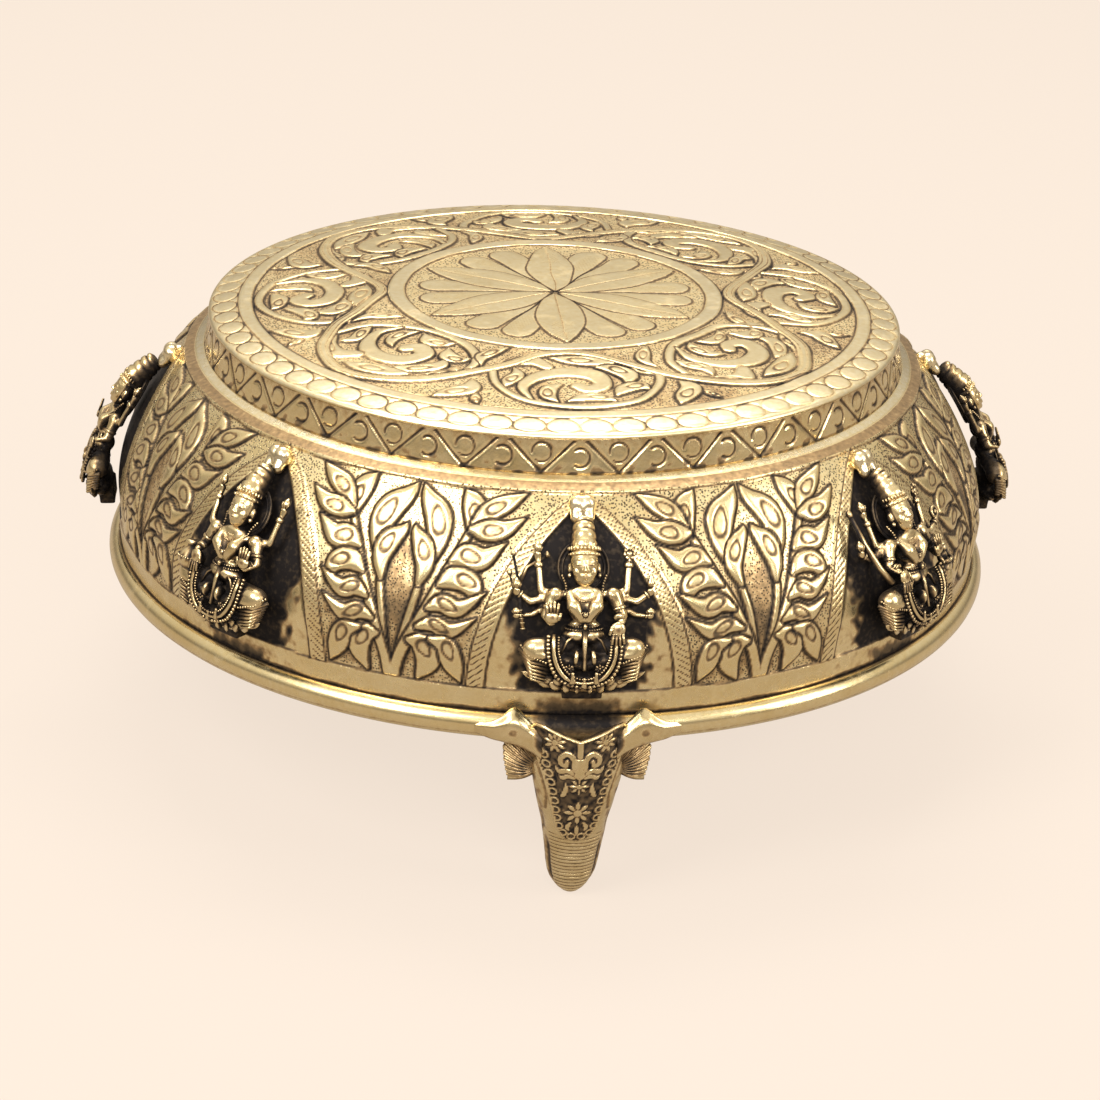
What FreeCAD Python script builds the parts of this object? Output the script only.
import FreeCAD, Part
import math
import os
import Sketcher

# Brass deity pedestal: a round bowl-shaped stand with an engraved top, eight cast seated
# deities round its side and three elephant-head feet. Millimetres, +Z up, the origin on the
# floor below the middle. Angles are counted from the front (-Y) towards +X.

doc = FreeCAD.newDocument("DeityPedestal")
sheet = doc.addObject("Spreadsheet::Sheet", "Sizes")

drivingSizes = [
    ("rimCentreRadius", 148.1),  # circle that the middle of the rolled rim runs on
    ("rimTubeRadius", 4.4),
    ("rimSeatDrop", 0.3),  # flat seat of the dome, below the top of the roll
    ("skirtOverRim", 0.2),  # foot of the dome, outside the middle of the roll
    ("skirtHeight", 18.8),  # dome, from the rim up to its widest level
    ("bellySwell", 1.2),  # how much the belly is wider than the skirt
    ("domeRise", 46.3),  # belly up to the edge of the ledge
    ("domeLean", 23.8),  # how far the dome comes in over that rise
    ("domeWall", 2.8),
    ("ledgeWidth", 6.6),  # plain sloping ledge round the collar
    ("ledgeRise", 2.6),
    ("neckSeatWidth", 11.1),  # flat seat that carries the collar
    ("collarHeight", 11.0),
    ("collarTaper", 2.1),
    ("collarWall", 3.5),  # at the collar's top
    ("topOverhang", 0.6),  # top plate beyond the collar
    ("edgeRise", 1.8),  # rounded edge of the top plate
    ("edgeRun", 3.1),
    ("borderRise", 1.5),  # sloping border of the plate, round the field of scroll
    ("borderWidth", 7.0),
    ("fieldRise", 3.9),  # the field slopes up to the plain ring
    ("fieldWidth", 50.5),
    ("ringWidth", 6.0),
    ("rosetteDepth", 0.6),  # ground of the rosette, below its ring and petals
    ("figureFootRise", 9.1),  # petal seat above the rim's flat seat
    ("crownDrop", 7.0),  # crown tip below the edge of the ledge
    ("figureStandOff", 1.2),  # back of the casting to the skin of the dome
    ("padStandOff", 0.35),  # lower pad to the skin of the dome
    ("padWidth", 12.0),
    ("padHeight", 5.0),
    ("padDepth", 5.2),
    ("hookWidth", 6.0),
    ("hookDepth", 4.0),
    ("hookBend", 0.8),  # how far the hook arches over the straight way to the crown
    ("hookStandOff", 0.35),  # foot of the hook to the skin of the dome
    ("hookToCrown", 0.3),
    ("headHeight", 55.3),  # elephant head with its trunk
    ("headWidth", 27.0),
    ("headDepth", 23.0),
    ("headSetBack", 0.1),  # middle of the head, inside the middle of the roll
    ("headToRim", 0.3),
    ("plateProud", 0.8),  # forehead plate above the forehead
    ("rimClearance", 0.5),  # plate and webs to the rolled rim
    ("webOffset", 5.0),  # tip of each clasping web, beyond the side of the head
    ("webReach", 9.0),  # half the foot of a web
    ("webThickness", 3.4),
    ("webOverRim", 8.2),  # tip of a web above the middle of the roll
    ("earReach", 11.2),
    ("earThickness", 2.0),
]
figureCount = 8
footCount = 3

for row, (alias, value) in enumerate(drivingSizes, start=1):
    sheet.set(f"A{row}", alias)
    sheet.set(f"B{row}", str(value))
    sheet.setAlias(f"B{row}", alias)
doc.recompute()


# A size keeps its number beside the formula that the model is bound to.
class Size:
    def __init__(self, value, formula):
        self.value = value
        self.formula = formula

    def __add__(self, other):
        return Size(self.value + other.value, f"({self.formula} + {other.formula})")

    def __sub__(self, other):
        return Size(self.value - other.value, f"({self.formula} - {other.formula})")

    def __mul__(self, share):
        return Size(self.value * share, f"{self.formula} * {share:.6f}")


size = {alias: Size(float(sheet.get(alias)), f"Sizes.{alias}") for alias, _ in drivingSizes}
axis = Size(0.0, "0")
# Levels from the floor up, and radii from the rim in, each worked out from its neighbour.
size["rimLevel"] = size["headHeight"] + size["headToRim"] + size["rimTubeRadius"]
size["rimSeatLevel"] = size["rimLevel"] + size["rimTubeRadius"] - size["rimSeatDrop"]
size["bellyLevel"] = size["rimSeatLevel"] + size["skirtHeight"]
size["shoulderLevel"] = size["bellyLevel"] + size["domeRise"]
size["neckLevel"] = size["shoulderLevel"] + size["ledgeRise"]
size["collarTopLevel"] = size["neckLevel"] + size["collarHeight"]
size["edgeLevel"] = size["collarTopLevel"] + size["edgeRise"]
size["borderLevel"] = size["edgeLevel"] + size["borderRise"]
size["topLevel"] = size["borderLevel"] + size["fieldRise"]
size["rosetteLevel"] = size["topLevel"] - size["rosetteDepth"]
size["skirtRadius"] = size["rimCentreRadius"] + size["skirtOverRim"]
size["bellyRadius"] = size["skirtRadius"] + size["bellySwell"]
size["shoulderRadius"] = size["bellyRadius"] - size["domeLean"]
size["collarFootRadius"] = size["shoulderRadius"] - size["ledgeWidth"]
size["neckBore"] = size["collarFootRadius"] - size["neckSeatWidth"]
size["collarTopRadius"] = size["collarFootRadius"] - size["collarTaper"]
size["collarBore"] = size["collarTopRadius"] - size["collarWall"]
size["topRadius"] = size["collarTopRadius"] + size["topOverhang"]
size["edgeRadius"] = size["topRadius"] - size["edgeRun"]
size["borderRadius"] = size["edgeRadius"] - size["borderWidth"]
size["ringRadius"] = size["borderRadius"] - size["fieldWidth"]
size["rosetteRadius"] = size["ringRadius"] - size["ringWidth"]
size["figureFootLevel"] = size["rimSeatLevel"] + size["figureFootRise"]
size["figureTopLevel"] = size["shoulderLevel"] - size["crownDrop"]
# A figure follows the dome's lean, so it is longer than its rise; its widths are shares of this.
figureLengthShare = 1.102
size["figureHeight"] = (size["figureTopLevel"] - size["figureFootLevel"]) * figureLengthShare
size["headRadius"] = size["rimCentreRadius"] - size["headSetBack"]
size["webSpread"] = size["headWidth"] * (1 / 2) + size["webOffset"]
size["webTopLevel"] = size["rimLevel"] + size["webOverRim"]
mm = {alias: item.value for alias, item in size.items()}


def originPart(body, role):
    return next(part for part in body.Origin.OriginFeatures if part.Role == role)


def bindPlace(sketch, kind, geometry, place, zeroAxis):
    if place.value == 0:
        sketch.addConstraint(Sketcher.Constraint("PointOnObject", geometry, 2, zeroAxis))
        return
    number = sketch.addConstraint(Sketcher.Constraint(kind, -1, 1, geometry, 2, place.value))
    sketch.setExpression(f"Constraints[{number}]", place.formula)


# A ring turned from a closed section: the section's corners are (radius, level).
def turnedRing(label, corners):
    body = doc.addObject("PartDesign::Body", label)
    body.Label = label
    sketch = body.newObject("Sketcher::SketchObject", label + "_section")
    sketch.AttachmentSupport = (originPart(body, "XZ_Plane"), [""])
    sketch.MapMode = "FlatFace"
    places = [FreeCAD.Vector(radius.value, level.value, 0) for radius, level in corners]
    for index, place in enumerate(places):
        sketch.addGeometry(Part.LineSegment(places[index - 1], place), False)
    for index, (radius, level) in enumerate(corners):
        following = (index + 1) % len(corners)
        sketch.addConstraint(Sketcher.Constraint("Coincident", index, 2, following, 1))
        bindPlace(sketch, "DistanceX", index, radius, -2)
        bindPlace(sketch, "DistanceY", index, level, -1)
    turning = body.newObject("PartDesign::Revolution", label + "_turning")
    turning.Profile = sketch
    turning.ReferenceAxis = (sketch, ["V_Axis"])
    turning.Angle = 360
    return body


# Corners along a round stretch, as shares of its radius, from one angle to another.
def roundedCorners(middleRadius, middleLevel, curve, startDegrees, endDegrees, steps):
    corners = []
    for step in range(steps + 1):
        angle = math.radians(startDegrees + (endDegrees - startDegrees) * step / steps)
        radius = middleRadius + curve * math.cos(angle)
        corners.append((radius, middleLevel + curve * math.sin(angle)))
    return corners


# The rolled rim: a round bar bent to a ring, flattened on top where the dome stands on it.
rollSteps = 6


def makeBaseRing():
    seatAngle = math.degrees(math.asin(1 - mm["rimSeatDrop"] / mm["rimTubeRadius"]))
    middleRadius, middleLevel, curve = size["rimCentreRadius"], size["rimLevel"], size["rimTubeRadius"]
    roll = roundedCorners(middleRadius, middleLevel, curve, seatAngle, -180 - seatAngle, rollSteps)
    roll[0] = (roll[0][0], size["rimSeatLevel"])
    roll[-1] = (roll[-1][0], size["rimSeatLevel"])
    return turnedRing("base_ring", roll)


# The dome's outline above the belly leans in by this power of the height above the belly.
domeCurvePower = 1.8
domeSteps = 6


def domeCorner(share, inset):
    lean = share**domeCurvePower
    radius = size["bellyRadius"] - size["domeLean"] * lean - inset
    return radius, size["bellyLevel"] + size["domeRise"] * share


# The dome: a bowl turned upside down, with a plain sloping ledge and a flat neck. Its skirt is
# bored straight, so the wall is thickest at the belly.
def makeDomeShell():
    wall = size["domeWall"]
    outside = [domeCorner(step / domeSteps, axis) for step in range(domeSteps + 1)]
    skirtBore = size["skirtRadius"] - wall
    return turnedRing("dome_shell", [
        (size["skirtRadius"], size["rimSeatLevel"]),
        *outside,
        (size["collarFootRadius"], size["neckLevel"]),
        (size["neckBore"], size["neckLevel"]),
        (size["neckBore"], size["neckLevel"] - wall),
        (size["shoulderRadius"] - wall - wall, size["neckLevel"] - wall),
        domeCorner(1 / 2, wall),
        (skirtBore, size["bellyLevel"]),
        (skirtBore, size["rimSeatLevel"]),
    ])


# The collar: a low tapering ring between the dome's neck and the top plate.
def makeCollarRing():
    return turnedRing("collar_ring", [
        (size["collarBore"], size["neckLevel"]),
        (size["collarFootRadius"], size["neckLevel"]),
        (size["collarTopRadius"], size["collarTopLevel"]),
        (size["collarBore"], size["collarTopLevel"]),
    ])


# The top plate, brazed down on the collar: a rounded edge, a sloping border and field, and a
# plain ring round a sunk rosette, whose petals are the flat seat.
edgeBulgeShares = (0.75, 0.65)  # corner of the rounded edge, of its run and its rise


def turnedTop():
    run, rise = edgeBulgeShares
    return turnedRing("top_turning", [
        (axis, size["collarTopLevel"]),
        (size["topRadius"], size["collarTopLevel"]),
        (size["edgeRadius"] + size["edgeRun"] * run, size["collarTopLevel"] + size["edgeRise"] * rise),
        (size["edgeRadius"], size["edgeLevel"]),
        (size["borderRadius"], size["borderLevel"]),
        (size["ringRadius"], size["topLevel"]),
        (size["rosetteRadius"], size["topLevel"]),
        (size["rosetteRadius"], size["rosetteLevel"]),
        (axis, size["rosetteLevel"]),
    ])


# A petal's outline, in shares of the rosette's radius: half width, distance out. It starts
# past the middle, so that the petals grow together there.
petalShares = [(0.0, -0.04), (0.12, 0.25), (0.17, 0.5), (0.12, 0.77), (0.0, 0.98)]
petalCount = 6


def frontPetal(number):
    angle = 2 * math.pi * number / petalCount
    outline = petalShares + [(-side, out) for side, out in reversed(petalShares[1:-1])]
    reach, root = mm["rosetteRadius"], mm["borderLevel"]
    corners = []
    for side, out in outline:
        x = out * math.sin(angle) + side * math.cos(angle)
        y = side * math.sin(angle) - out * math.cos(angle)
        corners.append(FreeCAD.Vector(x * reach, y * reach, root))
    face = Part.Face(Part.makePolygon([*corners, corners[0]]))
    return face.extrude(FreeCAD.Vector(0, 0, mm["topLevel"] - root))


def makeTopPlate():
    turning = turnedTop()
    doc.recompute()
    petals = [frontPetal(number) for number in range(petalCount)]
    plate = turning.Shape.fuse(petals)
    return placedPiece("top_plate", plate.removeSplitter(), 0)


# Castings are built of faceted lofts: rings of corners, each ring flat, joined by flat facets.
def facetedLoft(rings):
    facets = []
    for lower, upper in zip(rings, rings[1:]):
        for index in range(len(lower)):
            following = (index + 1) % len(lower)
            facets.append((lower[index], lower[following], upper[index]))
            facets.append((lower[following], upper[following], upper[index]))
    facets.append(rings[0])
    facets.append(rings[-1])
    faces = [Part.Face(Part.makePolygon([*facet, facet[0]])) for facet in facets]
    solid = Part.makeSolid(Part.makeShell(faces))
    if solid.Volume < 0:
        solid.reverse()
    return solid


# A limb bent through stations. Each station is a place with its half width and half depth; its
# ring of corners stands square to the way through it, with a flat side facing out.
def bentLimb(stations, sides):
    rings = []
    for index, (middle, halfWidth, halfDepth) in enumerate(stations):
        before = stations[max(index - 1, 0)][0]
        after = stations[min(index + 1, len(stations) - 1)][0]
        along = (after - before).normalize()
        outward = FreeCAD.Vector(middle.x, middle.y, 0).normalize()
        wide = along.cross(outward).normalize()
        deep = wide.cross(along)
        ring = []
        for side in range(sides):
            angle = math.pi / 2 + 2 * math.pi * (side + 1 / 2) / sides
            across, out = halfWidth * math.cos(angle), halfDepth * math.sin(angle)
            ring.append(middle + wide * across + deep * out)
        rings.append(ring)
    return facetedLoft(rings)


# The skin of the dome at a level: its radius there and how far its normal leans up.
def domeSkin(level):
    if level < mm["bellyLevel"]:
        fullness = (level - mm["rimSeatLevel"]) / mm["skirtHeight"]
        return mm["skirtRadius"] + mm["bellySwell"] * fullness, 0.0
    share = (level - mm["bellyLevel"]) / mm["domeRise"]
    slope = mm["domeLean"] / mm["domeRise"] * domeCurvePower * share ** (domeCurvePower - 1)
    return mm["bellyRadius"] - mm["domeLean"] * share**domeCurvePower, math.atan(slope)


def onDome(across, level, proud):
    radius, lean = domeSkin(level)
    reach = radius + proud * math.cos(lean)
    turn = across / radius
    return FreeCAD.Vector(reach * math.sin(turn), -reach * math.cos(turn), level + proud * math.sin(lean))


# A place on a figure as shares of its height: across, up from the petal seat, out from its back.
def figurePlace(across, up, out):
    level = mm["figureFootLevel"] + (mm["figureTopLevel"] - mm["figureFootLevel"]) * up
    return onDome(across * mm["figureHeight"], level, mm["figureStandOff"] + out * mm["figureHeight"])


# A bent limb of a figure, from stations (across, up, out, half width, half depth) in shares.
def figureLimb(stationShares, sides):
    height = mm["figureHeight"]
    stations = []
    for across, up, out, halfWidth, halfDepth in stationShares:
        stations.append((figurePlace(across, up, out), halfWidth * height, halfDepth * height))
    return bentLimb(stations, sides)


# Hips, waist, chest, shoulders, neck, face, brow, and the tall crown.
bodySides = 6
bodyShares = [
    (0, 0.33, 0.085, 0.115, 0.07),
    (0, 0.425, 0.08, 0.055, 0.045),
    (0, 0.56, 0.09, 0.125, 0.075),
    (0, 0.62, 0.08, 0.15, 0.05),
    (0, 0.67, 0.08, 0.04, 0.04),
    (0, 0.78, 0.1, 0.074, 0.068),
    (0, 0.82, 0.095, 0.1, 0.088),
    (0, 0.9, 0.075, 0.09, 0.075),
    (0, 1.0, 0.035, 0.056, 0.036),
]
# Petal seat, then the folded legs with the knees at their widest.
seatSides = 6
seatShares = [
    (0, 0.0, 0.09, 0.17, 0.06),
    (0, 0.055, 0.095, 0.34, 0.09),
    (0, 0.11, 0.09, 0.2, 0.08),
    (0, 0.2, 0.095, 0.3, 0.085),
    (0, 0.29, 0.095, 0.335, 0.085),
    (0, 0.36, 0.08, 0.13, 0.06),
]
haloSides = 8
haloShares = [(0, 0.745, 0.0, 0.15, 0.15), (0, 0.745, 0.03, 0.15, 0.15)]
# Shoulder, elbow, palm and fingertips: one palm is raised and the other lowered.
armSides = 3
raisedArmShares = [
    (-0.13, 0.61, 0.075, 0.042, 0.038),
    (-0.205, 0.47, 0.09, 0.034, 0.032),
    (-0.17, 0.47, 0.175, 0.045, 0.02),
    (-0.165, 0.56, 0.18, 0.028, 0.014),
]
loweredArmShares = [
    (0.13, 0.61, 0.075, 0.042, 0.038),
    (0.205, 0.47, 0.09, 0.034, 0.032),
    (0.17, 0.41, 0.175, 0.045, 0.02),
    (0.165, 0.31, 0.175, 0.028, 0.014),
]
garlandSides = 4
garlandShares = [
    (-0.18, 0.32, 0.15, 0.022, 0.02),
    (-0.15, 0.19, 0.205, 0.022, 0.02),
    (0, 0.09, 0.205, 0.026, 0.024),
    (0.15, 0.19, 0.205, 0.022, 0.02),
    (0.18, 0.32, 0.15, 0.022, 0.02),
]
# Shoulder, elbow, bud and bud tip of the arms behind the shoulders, on the side towards +X.
rearArmSides = 3
rearArmShares = {
    "raised": [
        (0.12, 0.6, 0.05, 0.026, 0.024),
        (0.235, 0.62, 0.06, 0.022, 0.02),
        (0.25, 0.8, 0.06, 0.045, 0.034),
        (0.25, 0.87, 0.06, 0.008, 0.008),
    ],
    "outer": [
        (0.12, 0.6, 0.05, 0.026, 0.024),
        (0.29, 0.56, 0.055, 0.022, 0.02),
        (0.375, 0.61, 0.055, 0.045, 0.034),
        (0.375, 0.68, 0.055, 0.008, 0.008),
    ],
    "low": [
        (0.12, 0.6, 0.05, 0.026, 0.024),
        (0.28, 0.47, 0.05, 0.022, 0.02),
        (0.375, 0.46, 0.06, 0.045, 0.034),
        (0.375, 0.53, 0.06, 0.008, 0.008),
    ],
}
carriedSides = 4
staffShares = [(-0.34, 0.34, 0.055, 0.014, 0.013), (-0.34, 0.82, 0.055, 0.012, 0.011)]
potShares = [
    (-0.25, 0.27, 0.1, 0.04, 0.035),
    (-0.25, 0.36, 0.1, 0.07, 0.055),
    (-0.25, 0.42, 0.1, 0.035, 0.03),
    (-0.25, 0.47, 0.1, 0.05, 0.04),
]
childShares = [
    (0.26, 0.27, 0.1, 0.055, 0.045),
    (0.26, 0.4, 0.1, 0.035, 0.03),
    (0.26, 0.44, 0.1, 0.045, 0.04),
    (0.26, 0.5, 0.1, 0.03, 0.03),
]
# Each deity, from the front round towards +X: its rear arms and what else the casting carries.
deities = [
    (("raised", "outer", "low"), staffShares),
    (("raised", "outer"), childShares),
    (("raised",), None),
    (("raised",), potShares),
    (("raised", "outer"), staffShares),
    (("raised",), childShares),
    (("raised",), None),
    (("raised",), potShares),
]


def rearArm(name, side):
    stationShares = rearArmShares[name]
    return figureLimb([(side * across, *others) for across, *others in stationShares], rearArmSides)


# The pad below the petals is the foot of the casting: it stands against the dome's skirt.
def lowerPad():
    halfWidth = mm["padWidth"] / 2
    top = mm["figureFootLevel"] + mm["padHeight"] / 2
    bottom = top - mm["padHeight"]
    back = mm["padStandOff"]
    front = back + mm["padDepth"]
    rings = []
    for level in (bottom, top):
        rings.append([
            onDome(-halfWidth, level, back),
            onDome(halfWidth, level, back),
            onDome(halfWidth, level, front),
            onDome(-halfWidth, level, front),
        ])
    return facetedLoft(rings)


def placedPiece(label, shape, degrees):
    piece = doc.addObject("Part::Feature", label)
    piece.Label = label
    piece.Shape = shape
    upright = FreeCAD.Vector(0, 0, 1)
    piece.Placement = FreeCAD.Placement(FreeCAD.Vector(), FreeCAD.Rotation(upright, degrees))
    return piece


def makeDeity(number, rearNames, carriedShares):
    pieces = [
        figureLimb(bodyShares, bodySides),
        figureLimb(seatShares, seatSides),
        figureLimb(haloShares, haloSides),
        figureLimb(raisedArmShares, armSides),
        figureLimb(loweredArmShares, armSides),
        figureLimb(garlandShares, garlandSides),
        lowerPad(),
    ]
    if carriedShares:
        pieces.append(figureLimb(carriedShares, carriedSides))
    for side in (-1, 1):
        pieces += [rearArm(name, side) for name in rearNames]
    casting = pieces[0].fuse(pieces[1:]).removeSplitter()
    return placedPiece(f"deity_figure_{number}", casting, 360 / figureCount * (number - 1))


hookSides = 6
hookBendShare = 0.6  # where the hook bends, on its way from the dome to the crown
hookTipShare = 0.8  # thickness at the crown, beside that at the dome


# The hook stands on the skin of the dome below the ledge and arches out to the crown.
def makeHook(number):
    halfWidth = mm["hookWidth"] / 2
    halfDepth = mm["hookDepth"] / 2
    _, crownUp, crownOut, _, _ = bodyShares[-1]
    rootLevel = mm["shoulderLevel"] - halfDepth
    crown = figurePlace(0, crownUp, crownOut)
    middle = onDome(0, rootLevel, mm["hookStandOff"])
    tip = crown + (middle - crown).normalize() * mm["hookToCrown"]
    bend = middle + (tip - middle) * hookBendShare + FreeCAD.Vector(0, 0, mm["hookBend"])
    wide = FreeCAD.Vector(1, 0, 0)
    skinRise = wide.cross(onDome(0, rootLevel, 0) - middle).normalize()
    tipRise = wide.cross(bend - tip).normalize()
    rings = []
    for place, rise, share in ((middle, skinRise, 1), (bend, tipRise, 1), (tip, tipRise, hookTipShare)):
        ring = []
        for side in range(hookSides):
            angle = 2 * math.pi * (side + 1 / 2) / hookSides
            across, up = halfWidth * math.cos(angle), halfDepth * math.sin(angle)
            ring.append(place + wide * (across * share) + rise * (up * share))
        rings.append(ring)
    hook = facetedLoft(rings)
    return placedPiece(f"figure_hook_{number}", hook, 360 / figureCount * (number - 1))


# A place on a foot: across it, out from the axis of the stand, above the floor.
def footPlace(across, radius, level):
    return FreeCAD.Vector(across, -radius, level)


# Elephant head and trunk from the floor up, in shares: level of the head's height, shift out
# and half depth of its depth, half width of its width.
trunkShares = [
    (0.0, -0.2, 0.2, 0.17),
    (0.05, -0.2, 0.3, 0.24),
    (0.18, -0.13, 0.3, 0.25),
    (0.4, -0.03, 0.33, 0.3),
    (0.58, 0.02, 0.42, 0.37),
    (0.76, 0.02, 0.5, 0.46),
    (0.93, 0.02, 0.5, 0.5),
    (1.0, 0.0, 0.47, 0.47),
]
foreheadShare = 0.52  # face of the forehead, out from the middle of the head, of its depth
# Outline of the forehead plate: half width of the head's width, level of its height.
plateShares = [
    (0.0, 0.43),
    (0.15, 0.45),
    (0.23, 0.52),
    (0.3, 0.7),
    (0.42, 0.9),
    (0.44, 1.05),
    (0.36, 1.09),
    (0.0, 1.0),
]
# Outline of an ear: share of the ear's reach, level of the head's height. The ear's root is
# inside the head.
earRootShare = 0.4
earShares = [(0.0, 0.66), (0.75, 0.8), (1.0, 0.98), (0.12, 0.98)]
# A tusk: across and half thickness as shares of the head's width, level of its height.
tuskShares = [(0.4, 0.72, 0.1), (0.36, 0.5, 0.12), (0.28, 0.3, 0.05)]
tuskOutShare = 0.3
webFootShare = 0.97
webTuckShare = 0.6  # how far the tip of a web leans over the rim, of the roll's radius
headSides = 8
tuskSides = 4


def headLoft():
    squareness = math.cos(math.pi / headSides)
    rings = []
    for level, shift, halfDepth, halfWidth in trunkShares:
        ring = []
        for side in range(headSides):
            angle = 2 * math.pi * (side + 1 / 2) / headSides
            across = halfWidth * mm["headWidth"] * math.cos(angle) / squareness
            out = halfDepth * mm["headDepth"] * math.sin(angle) / squareness
            radius = mm["headRadius"] + shift * mm["headDepth"] + out
            ring.append(footPlace(across, radius, level * mm["headHeight"]))
        rings.append(ring)
    return facetedLoft(rings)


# A flat piece from an outline of (across, level), between two distances from the axis.
def uprightPlate(outline, innerRadius, outerRadius):
    rings = []
    for radius in (innerRadius, outerRadius):
        rings.append([footPlace(across, radius, level) for across, level in outline])
    return facetedLoft(rings)


# The forehead plate stands in front of the forehead and its upper edge covers the rim.
def foreheadPlate():
    outline = [(share * mm["headWidth"], level * mm["headHeight"]) for share, level in plateShares]
    outline += [(-across, level) for across, level in reversed(outline[1:-1])]
    rimFace = mm["rimCentreRadius"] + mm["rimTubeRadius"] + mm["rimClearance"]
    front = mm["headRadius"] + foreheadShare * mm["headDepth"] + mm["plateProud"]
    return uprightPlate(outline, rimFace, front)


def ear(side):
    root = earRootShare * mm["headWidth"]
    outline = []
    for share, level in earShares:
        outline.append((side * (root + share * mm["earReach"]), level * mm["headHeight"]))
    middle = mm["headRadius"]
    return uprightPlate(outline, middle, middle + mm["earThickness"])


def tusk(side):
    width, radius = mm["headWidth"], mm["headRadius"] + tuskOutShare * mm["headDepth"]
    stations = []
    for across, level, half in tuskShares:
        place = footPlace(side * across * width, radius, level * mm["headHeight"])
        stations.append((place, half * width, half * width))
    return bentLimb(stations, tuskSides)


# A web from the ear that clasps the rim: outside it and, at its tip, bent over the top.
def claspingWeb(side):
    rimFace = mm["rimCentreRadius"] + mm["rimTubeRadius"] + mm["rimClearance"]
    outside = rimFace + mm["webThickness"]
    foot = webFootShare * mm["headHeight"]
    middle = mm["webSpread"]
    rings = []
    for across, top, tuck in (
        (middle - mm["webReach"], mm["rimLevel"], 0.0),
        (middle, mm["webTopLevel"], 1.0),
        (middle + mm["webReach"], mm["rimLevel"], 0.0),
    ):
        turn = side * across / mm["rimCentreRadius"]
        tucked = webTuckShare * mm["rimTubeRadius"] * tuck
        waist = mm["rimLevel"] + mm["rimClearance"] * (2 * tuck - 1)
        section = [
            (rimFace, foot),
            (outside, foot),
            (outside, (foot + top) / 2),
            (outside - tucked, top),
            (rimFace - tucked, top),
            (rimFace, waist),
        ]
        outward = FreeCAD.Vector(math.sin(turn), -math.cos(turn), 0)
        rings.append([outward * radius + FreeCAD.Vector(0, 0, level) for radius, level in section])
    return facetedLoft(rings)


def makeFoot(number):
    pieces = [foreheadPlate()]
    for side in (-1, 1):
        pieces += [ear(side), tusk(side), claspingWeb(side)]
    casting = headLoft().fuse(pieces).removeSplitter()
    return placedPiece(f"elephant_foot_{number}", casting, 360 / footCount * (number - 1))


parts = [makeTopPlate(), makeCollarRing(), makeDomeShell(), makeBaseRing()]
for number, (rearNames, carriedShares) in enumerate(deities, start=1):
    parts.append(makeDeity(number, rearNames, carriedShares))
for number in range(1, figureCount + 1):
    parts.append(makeHook(number))
for number in range(1, footCount + 1):
    parts.append(makeFoot(number))
doc.recompute()

for item in doc.Objects:
    if "Invalid" in item.State or "Error" in item.State:
        raise ValueError(f"{item.Name} did not build")
os.makedirs("parts", exist_ok=True)
for part in parts:
    shape = part.Shape
    if shape.isNull() or not shape.isValid():
        raise ValueError(f"{part.Label} has no valid shape")
    shape.exportStep(f"parts/{part.Label}.step")
    print(part.Label, len(shape.Solids), round(shape.Volume))
